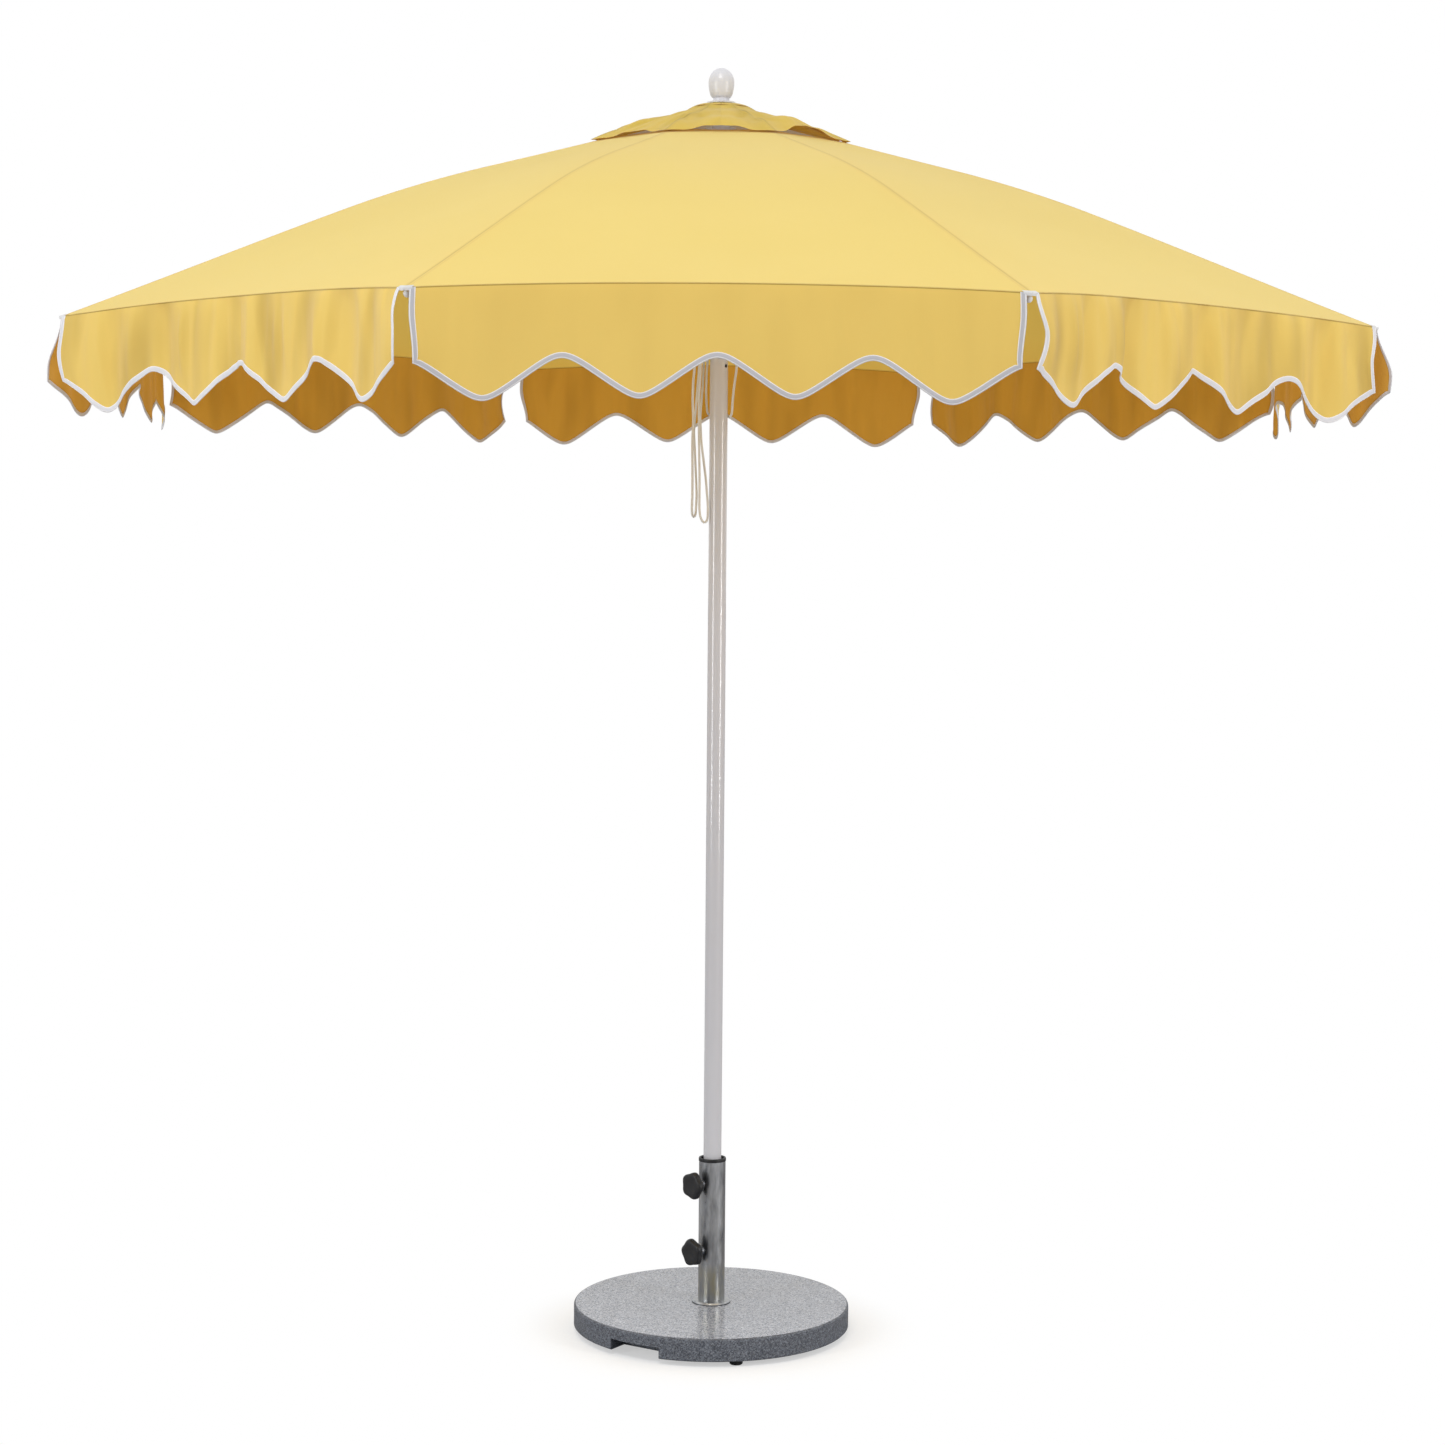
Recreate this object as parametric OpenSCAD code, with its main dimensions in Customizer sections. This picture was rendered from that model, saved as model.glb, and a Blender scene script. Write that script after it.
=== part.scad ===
// Octagonal beach umbrella: a one-piece mast with eight ribs and eight stretchers, a cloth canopy with a
// scalloped valance and a vent cap, standing in a steel socket on a round granite base.
// Millimetres. +Z is up, the mast is on the Z axis, and Z = 0 is the ground under the feet.

/* [Canopy] */
// Reach of the canopy from the mast to a rib tip
canopy_r = 1371.6; // [1360:1:1380]
// Height of the hem at the rib tips
hem_z = 2116; // [2110:1:2120]
// Distance from the mast at which the ribs bend
kink_r = 660; // [655:1:670]
// Height of the cloth above the hem at that bend
kink_rise = 288; // [280:1:295]
// Height of the cloth above the hem at the hub pins
crown_rise = 468; // [465:1:470]
// Corner radius of the vent opening in the main canopy
vent_r = 240; // [200:5:250]
// Corner radius of the vent cap
cap_r = 276; // [270:1:285]
// How far the hem is drawn in half-way between two ribs
hem_inset = 43; // [20:1:50]
// Drop of the valance at a notch
notch_drop = 125; // [100:5:140]
// Drop of the valance at a lobe
lobe_drop = 195; // [180:5:200]

/* [Frame] */
// Outside diameter of the mast
pole_d = 38.1; // [38:0.1:38.2]
// Wall of the mast tube
pole_wall = 1.5; // [1.2:0.1:2]
// Width of a rib
rib_w = 14; // [14:0.5:15]
// Height of a rib
rib_h = 18; // [17:0.5:18]
// Wall of the rib and stretcher tubes
bar_wall = 1.2; // [1:0.1:1.5]
// Width of a stretcher
stretcher_w = 9; // [8:0.5:9]
// Height of a stretcher
stretcher_h = 14; // [12:0.5:14]
// Distance along the rib from its hub pin to the stretcher bracket
bracket_s = 620; // [600:5:620]
// Height of the lower end of the runner
runner_z = 2083; // [2080:1:2090]
// Height of the empty lock pin hole
pin_hole_z = 2061; // [2055:1:2065]

/* [Base] */
// Diameter of the granite disc
stone_d = 590; // [580:5:620]
// Thickness of the granite disc
stone_t = 48; // [44:1:50]
// Height of the rubber feet
foot_h = 12; // [10:1:14]
// Outside diameter of the socket tube
socket_d = 57; // [56.6:0.1:57.4]
// Height of the socket tube above the stone
socket_h = 314; // [300:1:320]
// Diameter of the clamp knobs
knob_d = 56; // [52:1:58]

/* [Hidden] */
$fn = 64;

// How far a cutting tool runs past the face it cuts, and how far welded shapes reach into each other
past = 1;
bite = 0.2;

// Ribs: numbered anticlockwise, half a panel away from the X axis
panel = 45;
half_panel = panel / 2;
function rib_azimuth(i) = half_panel + panel * (i - 1);

// Cloth: its upper surface along a rib, as two straight slopes
cloth_t = 2;
cloth_gap = 2;
hinge_r = 38;
kink_z = hem_z + kink_rise;
crown_z = hem_z + crown_rise;
inner_fall = (crown_z - kink_z) / (kink_r - hinge_r);
outer_fall = (kink_z - hem_z) / (canopy_r - kink_r);
inner_angle = atan(inner_fall);
outer_angle = atan(outer_fall);
function cloth_z(r) = r < kink_r
    ? kink_z + (kink_r - r) * inner_fall
    : hem_z + (canopy_r - r) * outer_fall;

// Linkage: the rib and the stretcher have the same length between pins, so the stretcher's foot stays
// on the circle of the hub pins while the frame folds
rib_under_cloth = cloth_t + cloth_gap + rib_h / 2;
hub_pin = [hinge_r, crown_z - rib_under_cloth / cos(inner_angle)];
bracket_drop = rib_h / 2 + 10;
function fall(angle) = [cos(angle), -sin(angle)];
function above(angle) = [sin(angle), cos(angle)];
bracket_pin = hub_pin + bracket_s * fall(inner_angle) - bracket_drop * above(inner_angle);
runner_pin = [hinge_r, 2 * bracket_pin[1] - hub_pin[1]];
link_length = norm(bracket_pin - hub_pin);
link_angle = atan2(hub_pin[1] - bracket_pin[1], bracket_pin[0] - hub_pin[0]);

// Pins and eyes
hub_pin_r = 2;
hub_pin_length = 18;
link_pin_r = 2.5;
running = 0.05;
eye_w = 7;
eye_r = 8;
link_eye_r = 7;

// Ribs
rib_start = 18;
rib_plug = 22;
plug_h = rib_h - 2 * (bar_wall - bite);
plug_w = rib_w - 2 * (bar_wall - bite);
rib_end_r = 1352;
kink_axis = [kink_r, kink_z] - rib_under_cloth * above((inner_angle + outer_angle) / 2);
rib_outer_length = (rib_end_r - kink_axis[0]) / cos(outer_angle);
cheek_w = 2;
bracket_length = 36;

// Valance and hem
chord = 2 * canopy_r * sin(half_panel);
panel_fall = outer_fall / cos(half_panel);
hem_steps = 4;
hem_gap = 0.25;
corner_gap = 14;
lobes = 4;
strap_half = 18;
strap_sunk = 0.5;

// Socket and clamp screws
foot_d = 27.5;
foot_circle = 268;
foot_azimuth = -78.6;
stone_top = foot_h + stone_t;
socket_top = stone_top + socket_h;
socket_bore = socket_d - 3;
notch_azimuth = -123;
notch_w = 120;
notch_depth = 55;
notch_h = 24;
gasket_t = 1;
flange_r = 41;
flange_t = 4;
screw_circle = 35;
screw_azimuth = -50;
screw_r = 2.5;
lower_bush_z = stone_top + 6;
lower_bush_h = 30;
upper_bush_z = 334;
upper_bush_h = 20;
clamp_azimuth = -138;
upper_clamp_z = 320;
lower_clamp_z = 175;
stud_r = 4;
stud_tip = pole_d / 2 + 0.3;
stud_end = 60;
knob_start = 48;
knob_t = 15;
knob_neck = 6;

// Mast head
pole_bottom = stone_top + 4;
pole_top = 2600;
pole_bore = pole_d - 2 * pole_wall;
pin_hole_azimuth = -38;
pulley_z = 2520;
cord_d = 5;
cord_r = 24;
pulley_w = 9;
cap_z = 2606;
cap_flat_r = 72;
cap_fall = 8;
cap_edge_z = 2530;
finial_z = cap_z + 1;
finial_stud_r = 5;

// Runner and cleat
sleeve_r = 29;
sleeve_bore = pole_d + 0.6;
crown_r = 46;
crown_half = 12;
channel_r = 3;
cleat_z = 2098;
cleat_half = 54;
cleat_r = 4;

// Route of the free cord, hung up by hand: out of the runner, round the mast, over the right horn, behind
// the sleeve to the left horn and down and up twice in long loops
wrap_r = 22.9;
wrap_step = 36;
wrap_steps = 13;
wrap_z = 1960;
horn_turn_r = 8.2;
pole_wrap = [for (k = [0:wrap_steps])
    let (a = 180 + wrap_step * k) [wrap_r * cos(a), wrap_r * sin(a), wrap_z - k]];
function over_horn(x, angles) = [for (a = angles)
    [x, horn_turn_r * cos(a), cleat_z + horn_turn_r * sin(a)]];
forward = [-10, 56, 123, 190];
backward = [190, 123, 56, -10];
cord_route = concat(
    [[-24, 0, 2094], [-24, 0, 2075], [-26, -3, 2045], [-27, -4, 2010], [-26, 2, 1985], [-24.5, 6, 1968]],
    pole_wrap,
    [[20, -20, 1943], [27, -13, 1946], [30, -9, 1957], [29, -9, 1985], [32, -9, 2018], [36, -10, 2048],
     [39, -9, 2075]],
    over_horn(39, backward),
    [[36, 14, 2087], [27, 27, 2082], [12, 34, 2079], [-6, 36, 2078], [-23, 31, 2079], [-38, 20, 2082],
     [-47, 11, 2088]],
    over_horn(-49, forward),
    [[-50, -10, 2070], [-54, -11, 2030], [-55, -11, 1990], [-53, -11, 1945], [-55, -12, 1900],
     [-54, -12, 1835], [-54, -12, 1785], [-55, -11, 1758], [-54, -8, 1745], [-51, -3, 1741],
     [-47, 2, 1745], [-45, 6, 1790], [-48, 7, 1850], [-52, 6, 1925], [-47, 6, 1990], [-42, 8, 2055]],
    over_horn(-41, forward),
    [[-39, -11, 2070], [-39, -13, 2040], [-42, -15, 1990], [-41, -17, 1910], [-39, -18, 1830],
     [-39, -19, 1760], [-37, -20, 1742], [-31, -20, 1730], [-24, -19, 1730], [-21, -16, 1742],
     [-21, -13, 1768], [-26, -9, 1825], [-36, -4, 1900], [-39, 0, 1955], [-34, 4, 2020],
     [-32, 8, 2070]],
    over_horn(-32, forward),
    [[-31, -12, 2090], [-30, -14, 2083], [-30, -14, 2079]]);
cord_sides = 8;
knot_r = 6;

// ---------- helpers ----------

// Draws in the upright plane through a rib: x is the distance from the mast and y is the height
module rib_plane(i) {
    rotate([0, 0, rib_azimuth(i)]) rotate([90, 0, 0]) children();
}

// Puts x along a bar that starts at a point and falls outward
module along(start, angle) {
    translate([start[0], start[1], 0]) rotate([0, 0, -angle]) children();
}

module ring(outer_r, inner_r, bottom, top) {
    translate([0, 0, bottom]) difference() {
        cylinder(r = outer_r, h = top - bottom);
        translate([0, 0, -past]) cylinder(r = inner_r, h = top - bottom + 2 * past);
    }
}

// A closed slab from rows of points on its upper face, with its lower face straight below
module slab(rows, thickness) {
    nr = len(rows);
    nc = len(rows[0]);
    n = nr * nc;
    top = [for (row = rows) for (p = row) p];
    bottom = [for (p = top) p - [0, 0, thickness]];
    upper = [for (r = [0:nr - 2]) for (c = [0:nc - 2]) each
        let (a = r * nc + c) [[a, a + 1, a + nc], [a + 1, a + nc + 1, a + nc]]];
    lower = [for (f = upper) [f[2] + n, f[1] + n, f[0] + n]];
    rim = concat(
        [for (c = [0:nc - 1]) c],
        [for (r = [1:nr - 1]) r * nc + nc - 1],
        [for (c = [nc - 2:-1:0]) (nr - 1) * nc + c],
        [for (r = [nr - 2:-1:1]) r * nc]);
    m = len(rim);
    sides = [for (k = [0:m - 1]) each
        let (a = rim[k], b = rim[(k + 1) % m]) [[b, a, a + n], [b, a + n, b + n]]];
    polyhedron(concat(top, bottom), concat(upper, lower, sides));
}

// ---------- ribs and stretchers ----------

// Outline of a rib, bent at the kink and mitred there
function rib_outline(height, start, reach) =
    let (middle = (inner_angle + outer_angle) / 2,
         slant = height / 2 / cos((outer_angle - inner_angle) / 2),
         a = hub_pin + start * fall(inner_angle),
         b = kink_axis + reach * fall(outer_angle),
         up_a = height / 2 * above(inner_angle),
         up_b = height / 2 * above(outer_angle),
         up_k = slant * above(middle))
    [a - up_a, kink_axis - up_k, b - up_b, b + up_b, kink_axis + up_k, a + up_a];

module rib_tube() {
    difference() {
        linear_extrude(rib_w, center = true)
            polygon(rib_outline(rib_h, rib_start, rib_outer_length));
        linear_extrude(rib_w - 2 * bar_wall, center = true)
            polygon(rib_outline(rib_h - 2 * bar_wall, rib_start - past, rib_outer_length + past));
    }
}

module rib_eye() {
    along(hub_pin, inner_angle) difference() {
        union() {
            cylinder(r = eye_r, h = eye_w, center = true);
            translate([0, -eye_r, -eye_w / 2]) cube([rib_start, 2 * eye_r, eye_w]);
            translate([rib_start - bite, -plug_h / 2, -plug_w / 2]) cube([rib_plug, plug_h, plug_w]);
        }
        cylinder(r = hub_pin_r + running, h = eye_w + 2 * past, center = true);
    }
}

// Clevis under the rib, with the pin that holds the top of the stretcher
module rib_bracket() {
    along(bracket_pin, inner_angle) {
        translate([-bracket_length / 2, bracket_drop - rib_h / 2 - cheek_w, -rib_w / 2])
            cube([bracket_length, cheek_w + bite, rib_w]);
        for (side = [-1, 1]) translate([0, 0, side * (rib_w - cheek_w) / 2]) {
            cylinder(r = link_eye_r, h = cheek_w, center = true);
            translate([-link_eye_r, 0, -cheek_w / 2])
                cube([2 * link_eye_r, bracket_drop - rib_h / 2, cheek_w]);
        }
        cylinder(r = link_pin_r - running, h = rib_w, center = true);
    }
}

// Plug with a ball end that sits in the corner pocket of the canopy
module rib_tip() {
    along(kink_axis + rib_outer_length * fall(outer_angle), outer_angle) {
        translate([-rib_plug, -plug_h / 2, -plug_w / 2]) cube([rib_plug + bite, plug_h, plug_w]);
        rotate([0, 90, 0]) cylinder(r = 6, h = 7);
        translate([7, 0, 0]) sphere(r = 7);
    }
}

module rib(i) {
    color("whitesmoke") rib_plane(i) {
        rib_tube();
        rib_eye();
        rib_bracket();
        rib_tip();
    }
}

// Flat end of a stretcher with its pin hole at the origin, reaching along x
module stretcher_eye(hole_r) {
    difference() {
        union() {
            cylinder(r = link_eye_r, h = stretcher_w, center = true);
            translate([0, -stretcher_h / 2, -stretcher_w / 2])
                cube([2 * link_eye_r, stretcher_h, stretcher_w]);
        }
        cylinder(r = hole_r, h = stretcher_w + 2 * past, center = true);
    }
}

module stretcher(i) {
    foot_pin_length = stretcher_w + 7;
    color("whitesmoke") rib_plane(i) along(bracket_pin, 180 - link_angle) {
        stretcher_eye(link_pin_r);
        difference() {
            translate([2 * link_eye_r, -stretcher_h / 2, -stretcher_w / 2])
                cube([link_length - 4 * link_eye_r, stretcher_h, stretcher_w]);
            translate([link_eye_r, -stretcher_h / 2 + bar_wall, -stretcher_w / 2 + bar_wall])
                cube([link_length - 2 * link_eye_r, stretcher_h - 2 * bar_wall,
                      stretcher_w - 2 * bar_wall]);
        }
        translate([link_length, 0, 0]) {
            rotate([0, 0, 180]) stretcher_eye(link_pin_r);
            cylinder(r = link_pin_r, h = foot_pin_length, center = true);
        }
    }
}

// ---------- cloth ----------

// A point of the panel beside a rib. side is -1 or 1, across runs from 0 at the rib to 1 at mid-panel,
// and inset is how far the edge is drawn in at mid-panel.
function panel_point(i, side, across, r, inset) =
    let (a = rib_azimuth(i) + side * half_panel,
         pulled = inset * across * (2 - across),
         rho = r * cos(half_panel) - pulled,
         v = -side * max(r * sin(half_panel) * (1 - across), hem_gap),
         z = cloth_z(r) + pulled * panel_fall)
    [rho * cos(a) - v * sin(a), rho * sin(a) + v * cos(a), z];

function panel_row(i, r, inset) = concat(
    [for (k = [hem_steps:-1:1]) panel_point(i, -1, k / hem_steps, r, inset)],
    [[r * cos(rib_azimuth(i)), r * sin(rib_azimuth(i)), cloth_z(r)]],
    [for (k = [1:hem_steps]) panel_point(i, 1, k / hem_steps, r, inset)]);

// A row of three points across the strap that ties a gore to the hub
function strap_row(i, r) = let (a = rib_azimuth(i)) [for (side = [-1, 0, 1])
    let (x = r - abs(side) * strap_half * tan(half_panel), y = side * strap_half)
    [x * cos(a) - y * sin(a), x * sin(a) + y * cos(a), cloth_z(r) - strap_sunk]];

// Two half panels that meet over a rib, with the strap under the vent cap
module canopy_gore(i) {
    strap_start = 52;
    color("khaki") {
        slab([panel_row(i, vent_r, 0), panel_row(i, kink_r, 0), panel_row(i, canopy_r, hem_inset)],
             cloth_t);
        slab([strap_row(i, strap_start), strap_row(i, vent_r + 2)], cloth_t - 2 * strap_sunk);
    }
}

function valance_drop(u) = (lobe_drop + notch_drop) / 2
    - (lobe_drop - notch_drop) / 2 * cos(360 * lobes * u / chord);

// Half a panel's valance, from beside a rib tip to mid-panel
module valance_half(i, side) {
    corner = [canopy_r * cos(rib_azimuth(i)), canopy_r * sin(rib_azimuth(i))];
    middle = panel_point(i, side, 1, canopy_r, hem_inset);
    run = [middle[0], middle[1]] - corner;
    length = norm(run);
    rise = middle[2] - hem_z;
    under_hem = cloth_t + 1;
    steps = 16;
    first = corner_gap;
    edge = [for (k = [0:steps]) let (s = first + (length - first) * k / steps)
        [s, hem_z + rise * s / length - valance_drop((length - s) * chord / 2 / length)]];
    translate([corner[0], corner[1], 0]) rotate([0, 0, atan2(run[1], run[0])]) rotate([90, 0, 0])
        translate([0, 0, side > 0 ? -cloth_t : 0]) linear_extrude(cloth_t) polygon(concat(edge,
            [[length, hem_z + rise - under_hem], [first, hem_z + rise * first / length - under_hem]]));
}

module valance(i) {
    color("goldenrod") for (side = [-1, 1]) valance_half(i, side);
}

// Octagonal top cloth that covers the vent and is clamped at the mast head
module vent_cap() {
    hole_r = finial_stud_r + 1;
    color("darkkhaki") rotate([0, 0, half_panel]) rotate_extrude($fn = 8) polygon([
        [hole_r, cap_z], [cap_flat_r, cap_z - cap_fall], [cap_r, cap_edge_z],
        [cap_r, cap_edge_z - cloth_t], [cap_flat_r, cap_z - cap_fall - cloth_t],
        [hole_r, cap_z - cloth_t]]);
}

// ---------- mast ----------

module pole() {
    slot_w = pulley_w + 2;
    slot_h = 56;
    pin_hole_r = 4;
    color("white") difference() {
        ring(pole_d / 2, pole_bore / 2, pole_bottom, pole_top);
        translate([0, 0, pin_hole_z]) rotate([0, 0, pin_hole_azimuth]) rotate([0, 90, 0])
            cylinder(r = pin_hole_r, h = pole_d + 2 * past, center = true);
        translate([0, 0, pulley_z]) cube([pole_d + 2 * past, slot_w, slot_h], center = true);
        translate([0, 0, pulley_z]) rotate([90, 0, 0])
            cylinder(r = link_pin_r, h = pole_d + 2 * past, center = true);
    }
}

// Plastic plug that closes the lower end and stands on the stone
module pole_foot() {
    flange_t = 3.5;
    plug_h = 25;
    color("black") {
        translate([0, 0, pole_bottom - flange_t]) cylinder(r = pole_d / 2, h = flange_t);
        translate([0, 0, pole_bottom]) cylinder(r = pole_bore / 2, h = plug_h);
    }
}

// Threaded plug in the top of the mast that takes the finial's stud
module pole_plug() {
    plug_h = 22;
    color("silver") ring(pole_bore / 2, finial_stud_r, pole_top - plug_h, pole_top);
}

module top_hub() {
    top = hub_pin[1] + 10;
    bottom = hub_pin[1] - 11;
    slot_w = eye_w + 0.6;
    slot_start = 29.5;
    color("white") difference() {
        ring(crown_r, pole_d / 2, bottom, top);
        for (i = [1:8]) rib_plane(i) {
            translate([slot_start, bottom - past, -slot_w / 2])
                cube([crown_r, top - bottom + 2 * past, slot_w]);
            translate([hub_pin[0], hub_pin[1], 0])
                cylinder(r = hub_pin_r, h = hub_pin_length, center = true);
        }
    }
}

module hub_pins() {
    color("silver") for (i = [1:8]) rib_plane(i) translate([hub_pin[0], hub_pin[1], 0])
        cylinder(r = hub_pin_r, h = hub_pin_length, center = true);
}

module pulley_wheel() {
    rim_r = cord_r + 0.5;
    color("dimgray") translate([0, 0, pulley_z]) rotate([90, 0, 0]) difference() {
        cylinder(r = rim_r, h = pulley_w, center = true);
        rotate_extrude() translate([cord_r, 0]) circle(r = cord_d / 2 + 0.2);
        cylinder(r = link_pin_r + running, h = pulley_w + 2 * past, center = true);
    }
}

module pulley_axle() {
    color("silver") translate([0, 0, pulley_z]) rotate([90, 0, 0])
        cylinder(r = link_pin_r, h = pole_d + 3, center = true);
}

module finial() {
    flange_r = 30;
    flange_t = 3;
    neck_r = 17;
    neck_h = 9;
    dome_r = 27;
    dome_z = 2651;
    dome_h = 30;
    skirt = dome_z - finial_z - flange_t - neck_h;
    stud_h = 24;
    color("white") {
        translate([0, 0, finial_z - stud_h]) cylinder(r = finial_stud_r, h = stud_h);
        rotate_extrude() polygon(concat(
            [[0, finial_z], [flange_r, finial_z], [flange_r, finial_z + flange_t],
             [neck_r, finial_z + flange_t + 2], [neck_r, finial_z + flange_t + neck_h]],
            [for (a = [15:15:90]) [neck_r + (dome_r - neck_r) * sin(a), dome_z - skirt * cos(a)]],
            [for (a = [10:10:90]) [dome_r * cos(a), dome_z + dome_h * sin(a)]]));
    }
}

// ---------- runner and cords ----------

// Sliding sleeve with a crown. The stretchers' feet sit in its open T-shaped channels.
module runner() {
    crown_bottom = runner_pin[1] - crown_half;
    crown_top = runner_pin[1] + crown_half;
    slot_w = stretcher_w + 0.6;
    slot_start = hinge_r - link_eye_r - 0.8;
    tee_w = 6;
    tee_length = stretcher_w + 8;
    channel_h = crown_top - runner_z + 2 * past;
    color("white") difference() {
        union() {
            ring(crown_r, sleeve_bore / 2, crown_bottom, crown_top);
            ring(sleeve_r, sleeve_bore / 2, runner_z, crown_top);
        }
        for (side = [-1, 1]) translate([side * cord_r, 0, runner_z - past])
            cylinder(r = channel_r, h = channel_h);
        for (i = [1:8]) rib_plane(i) {
            translate([slot_start, crown_bottom - past, -slot_w / 2])
                cube([crown_r, 2 * crown_half + 2 * past, slot_w]);
            translate([hinge_r - tee_w / 2, crown_bottom - past, -tee_length / 2])
                cube([tee_w, 2 * crown_half + 2 * past, tee_length]);
        }
    }
}

// Two horns on the sides of the runner, for hanging up the cord
module cord_cleat() {
    color("white") difference() {
        for (side = [-1, 1]) translate([0, 0, cleat_z]) rotate([0, side * 90, 0]) {
            cylinder(r = cleat_r, h = cleat_half);
            translate([0, 0, cleat_half + 2]) sphere(r = cleat_r + 2);
        }
        translate([0, 0, cleat_z - 2 * cleat_r]) cylinder(r = sleeve_r, h = 4 * cleat_r);
    }
}

function unit(v) = v / norm(v);
function tangent(path, k) = unit(path[min(k + 1, len(path) - 1)] - path[max(k - 1, 0)]);

// A frame that is carried along the path without twisting
function carried(path, k, side) = k == 0
    ? [for (s = [side]) unit(cross(tangent(path, 0), s))]
    : let (before = carried(path, k - 1, side), last = before[len(before) - 1], t = tangent(path, k))
      concat(before, [unit(last - (last * t) * t)]);

module swept_tube(path, r, sides) {
    n = len(path);
    normals = carried(path, n - 1, [0, 1, 0]);
    points = [for (k = [0:n - 1]) let (u = normals[k], w = cross(tangent(path, k), u))
        for (j = [0:sides - 1]) path[k] + r * (cos(360 * j / sides) * u + sin(360 * j / sides) * w)];
    skin = [for (k = [0:n - 2]) for (j = [0:sides - 1]) each
        let (a = k * sides + j, b = k * sides + (j + 1) % sides)
        [[a, a + sides, b], [b, a + sides, b + sides]]];
    polyhedron(points, concat(skin, [[for (j = [0:sides - 1]) j]],
        [[for (j = [sides - 1:-1:0]) (n - 1) * sides + j]]));
}

// The held part of the cord: up one side, over the pulley and down the other, anchored at the runner
module hoist_cord() {
    bottom = runner_pin[1] + crown_half + 0.3;
    over_pulley = [for (a = [180:-10:0]) [cord_r * cos(a), 0, pulley_z + cord_r * sin(a)]];
    color("white") swept_tube(concat([[-cord_r, 0, bottom]], over_pulley, [[cord_r, 0, bottom]]),
        cord_d / 2, 12);
}

module pull_cord() {
    color("white") swept_tube(cord_route, cord_d / 2, cord_sides);
}

// Knot at the free end, beside the left horn
module cord_knot() {
    end = cord_route[len(cord_route) - 1];
    color("white") translate(end - [0, 0, knot_r]) sphere(r = knot_r);
}

// ---------- base ----------

module base_stone() {
    edge_r = 5;
    foot_edge = 2;
    r = stone_d / 2;
    color("gray") difference() {
        rotate_extrude($fn = 180) polygon(concat(
            [[0, foot_h], [r - foot_edge, foot_h], [r, foot_h + foot_edge]],
            [for (a = [0:15:90]) [r - edge_r + edge_r * cos(a), stone_top - edge_r + edge_r * sin(a)]],
            [[0, stone_top]]));
        rotate([0, 0, notch_azimuth]) translate([r - notch_depth, -notch_w / 2, foot_h - past])
            cube([notch_depth + past, notch_w, notch_h + past]);
    }
}

module base_feet() {
    r = foot_d / 2;
    edge = 2;
    color("black") for (k = [0:3]) rotate([0, 0, foot_azimuth + 90 * k]) translate([foot_circle, 0, 0])
        rotate_extrude() polygon([[0, 0], [r - edge, 0], [r, edge], [r, foot_h], [0, foot_h]]);
}

module socket_tube() {
    color("silver") difference() {
        ring(socket_d / 2, socket_bore / 2, stone_top, socket_top - 2);
        clamp_holes(stud_r + running);
    }
}

module clamp_holes(r) {
    for (z = [upper_clamp_z, lower_clamp_z]) translate([0, 0, z]) rotate([0, 0, clamp_azimuth])
        rotate([0, 90, 0]) cylinder(r = r, h = stud_end);
}

module socket_flange() {
    bottom = stone_top + gasket_t;
    color("silver") difference() {
        rotate_extrude() polygon([[socket_d / 2, bottom], [flange_r, bottom], [flange_r, bottom + 1],
            [flange_r - 2.5, bottom + flange_t], [socket_d / 2, bottom + flange_t + 0.8]]);
        for (k = [0, 1]) rotate([0, 0, screw_azimuth + 180 * k])
            translate([screw_circle, 0, bottom - past]) cylinder(r = screw_r, h = flange_t + 3 * past);
    }
}

module flange_gasket() {
    color("black") difference() {
        ring(flange_r + 0.5, socket_d / 2, stone_top, stone_top + gasket_t);
        for (k = [0, 1]) rotate([0, 0, screw_azimuth + 180 * k])
            translate([screw_circle, 0, stone_top - past]) cylinder(r = screw_r, h = gasket_t + 2 * past);
    }
}

module flange_screws() {
    seat = stone_top + gasket_t + flange_t + 1;
    color("dimgray") for (k = [0, 1]) rotate([0, 0, screw_azimuth + 180 * k])
        translate([screw_circle, 0, stone_top]) {
            cylinder(r = screw_r, h = seat - stone_top);
            translate([0, 0, seat - stone_top]) cylinder(r = screw_r + 1, h = 1.6);
        }
}

// Black trim ring pushed over the upper edge of the socket tube
module socket_rim() {
    bottom = socket_top - 7;
    seat = socket_top - 2;
    lip = socket_top - 1.5;
    inner = socket_bore / 2;
    outer = socket_d / 2;
    lining = inner - 2.5;
    sheath = outer + 0.8;
    color("black") rotate_extrude() polygon([
        [lining, bottom], [inner, bottom], [inner, seat], [outer, seat], [outer, bottom],
        [sheath, bottom], [sheath, seat], [outer, socket_top], [inner - 1, socket_top], [lining, lip]]);
}

// Two plastic bushes that centre the mast in the wider socket
module pole_bushes() {
    color("black") {
        ring(socket_bore / 2, pole_d / 2 + running, lower_bush_z, lower_bush_z + lower_bush_h);
        ring(socket_bore / 2, pole_d / 2 + running, upper_bush_z, upper_bush_z + upper_bush_h);
    }
}

module clamp_bosses() {
    boss_r = 8;
    boss_top = socket_d / 2 + 4;
    color("silver") difference() {
        for (z = [upper_clamp_z, lower_clamp_z]) translate([0, 0, z]) rotate([0, 0, clamp_azimuth])
            rotate([0, 90, 0]) cylinder(r = boss_r, h = boss_top);
        translate([0, 0, stone_top]) cylinder(r = socket_d / 2, h = socket_h);
        clamp_holes(stud_r + running);
    }
}

module clamp_stud(z) {
    color("silver") translate([0, 0, z]) rotate([0, 0, clamp_azimuth]) rotate([0, 90, 0])
        translate([0, 0, stud_tip]) cylinder(r = stud_r, h = stud_end - stud_tip);
}

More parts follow.
